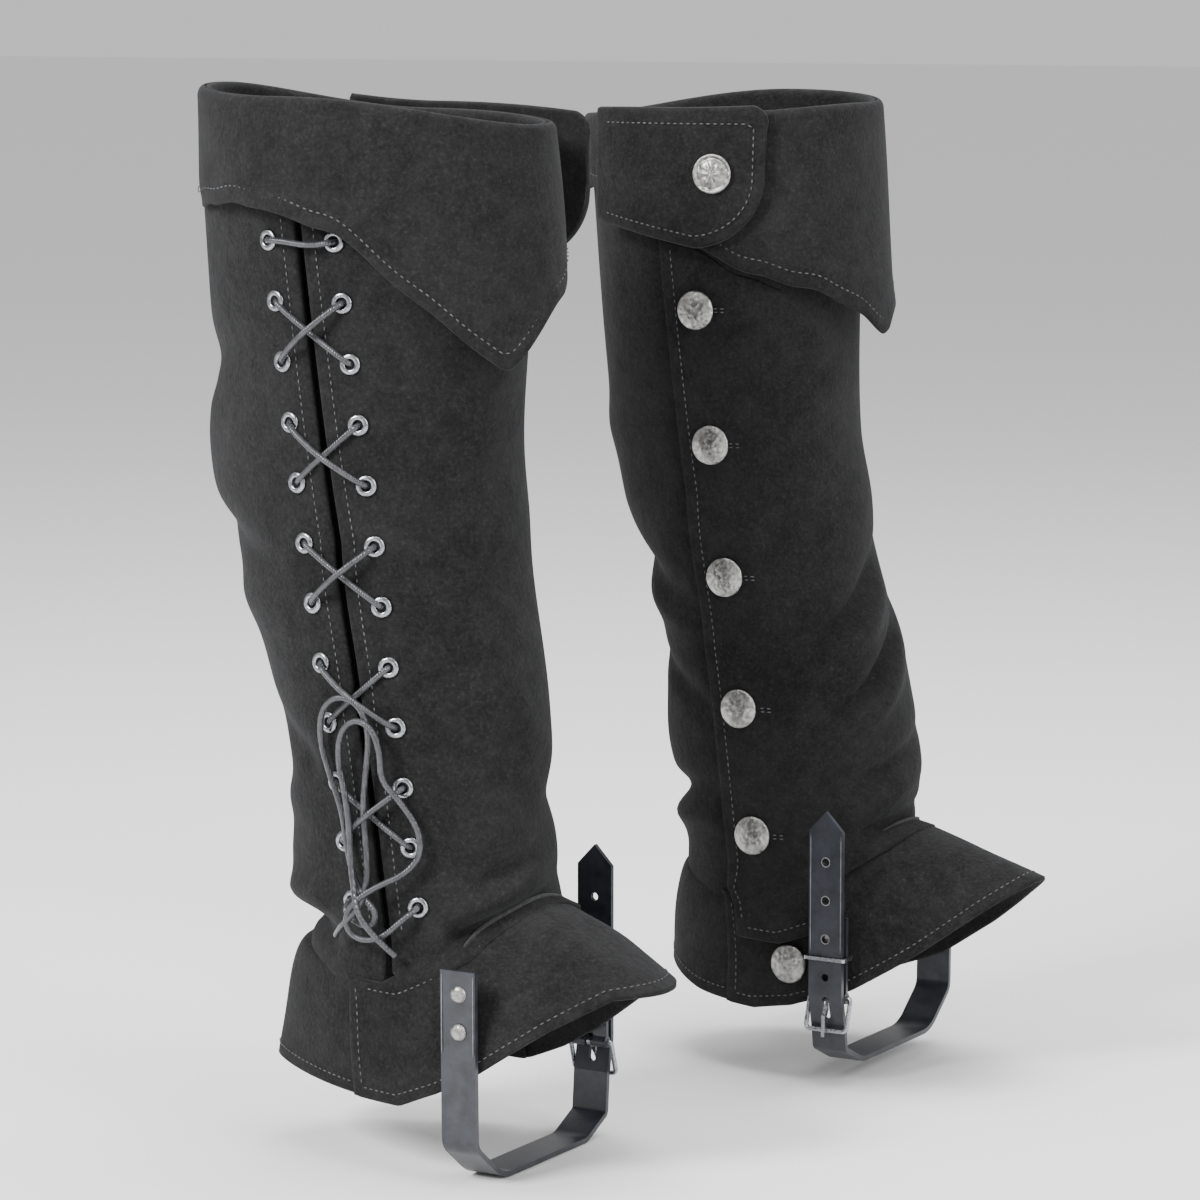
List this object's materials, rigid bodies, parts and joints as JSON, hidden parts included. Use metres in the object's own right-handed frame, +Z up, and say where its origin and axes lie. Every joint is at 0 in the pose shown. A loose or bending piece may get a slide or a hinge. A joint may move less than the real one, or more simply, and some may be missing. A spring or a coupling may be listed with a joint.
{
  "type": "pair of laced and buttoned gaiters",
  "caption": "Pair of knee-high suede gaiters with turned-down cuffs, laced inner sides, buttoned outer plackets and buckled stirrup straps",
  "frame": {"origin": "middle of the pair at the lowest point of the longer stirrup strap, at the worn opening mount", "axes": "+Z up, +X towards the toes, +Y across the pair towards the right-foot gaiter; the left-foot gaiter stands on the -Y side"},
  "size_m": [0.318, 0.4036, 0.505],
  "materials": {
    "suede": "napped suede",
    "strap_leather": "smooth waxed",
    "gunmetal": "polished gunmetal",
    "pewter": "antique hammered pewter",
    "buckle_steel": "nickel-plated wire",
    "waxed_cord": "waxed round cord",
    "thread": "grey sewing thread"
  },
  "bodies": {
    "left_gaiter": {"left_front_panel": "suede", "left_back_panel": "suede", "left_lace_facings": "suede", "left_lace_gusset": "suede", "left_vamp": "suede", "left_heel_counter": "suede", "left_cuff": "suede", "left_eyelets": "gunmetal", "left_eyelet_washers": "gunmetal", "left_skirt_button": "pewter", "left_button_tacks": "pewter", "left_concho_post": "pewter", "left_rivets": "pewter", "left_rivet_burrs": "pewter", "left_buckle_chape": "strap_leather", "left_buckle_frame": "buckle_steel", "left_lace": "waxed_cord", "left_bow_cord_back": "waxed_cord", "left_bow_cord_front": "waxed_cord", "left_stirrup_strap": "strap_leather"},
    "left_placket": {"left_placket_flap": "suede", "left_placket_buttons": "pewter"},
    "left_tab": {"left_cuff_tab": "suede", "left_concho": "pewter"},
    "left_prong": {"left_buckle_prong": "buckle_steel"},
    "left_keeper": {"left_strap_keeper": "buckle_steel"},
    "right_gaiter": {"right_front_panel": "suede", "right_back_panel": "suede", "right_lace_facings": "suede", "right_lace_gusset": "suede", "right_vamp": "suede", "right_heel_counter": "suede", "right_cuff": "suede", "right_eyelets": "gunmetal", "right_eyelet_washers": "gunmetal", "right_skirt_button": "pewter", "right_button_tacks": "pewter", "right_concho_post": "pewter", "right_rivets": "pewter", "right_rivet_burrs": "pewter", "right_buckle_chape": "strap_leather", "right_buckle_frame": "buckle_steel", "right_lace": "waxed_cord", "right_bow_cord_back": "waxed_cord", "right_bow_cord_front": "waxed_cord", "right_stirrup_strap": "strap_leather"},
    "right_placket": {"right_placket_flap": "suede", "right_placket_buttons": "pewter"},
    "right_tab": {"right_cuff_tab": "suede", "right_concho": "pewter"},
    "right_prong": {"right_buckle_prong": "buckle_steel"},
    "right_keeper": {"right_strap_keeper": "buckle_steel"}
  },
  "joints": [
    {"name": "left_placket_fold", "type": "hinge", "parent": "left_gaiter", "child": "left_placket", "pos_m": [-0.00311, -0.08173, 0.112], "axis": [-0.0563, 0.0053, 0.9984], "range_deg": [-40, 0]},
    {"name": "left_tab_fold", "type": "hinge", "parent": "left_gaiter", "child": "left_tab", "pos_m": [-0.107, -0.07051, 0.465], "axis": [0, 0, 1], "range_deg": [0, 60]},
    {"name": "left_prong_pivot", "type": "hinge", "parent": "left_gaiter", "child": "left_prong", "pos_m": [0.028, -0.0718, 0.046], "axis": [1, 0, 0], "range_deg": [0, 20]},
    {"name": "left_keeper_slide", "type": "slide", "parent": "left_gaiter", "child": "left_keeper", "axis": [0, 0, 1], "range_m": [-0.006, 0.006]},
    {"name": "right_placket_fold", "type": "hinge", "parent": "right_gaiter", "child": "right_placket", "pos_m": [0.05489, 0.08173, 0.112], "axis": [-0.0563, -0.0053, 0.9984], "range_deg": [0, 40]},
    {"name": "right_tab_fold", "type": "hinge", "parent": "right_gaiter", "child": "right_tab", "pos_m": [-0.049, 0.07051, 0.465], "axis": [0, 0, 1], "range_deg": [-60, 0]},
    {"name": "right_prong_pivot", "type": "hinge", "parent": "right_gaiter", "child": "right_prong", "pos_m": [0.086, 0.0718, 0.046], "axis": [1, 0, 0], "range_deg": [-20, 0]},
    {"name": "right_keeper_slide", "type": "slide", "parent": "right_gaiter", "child": "right_keeper", "axis": [0, 0, 1], "range_m": [-0.006, 0.006]},
    {"name": "pair_spacing", "type": "slide", "parent": "left_gaiter", "child": "right_gaiter", "axis": [0, 1, 0], "range_m": [-0.02, 0.25]}
  ]
}
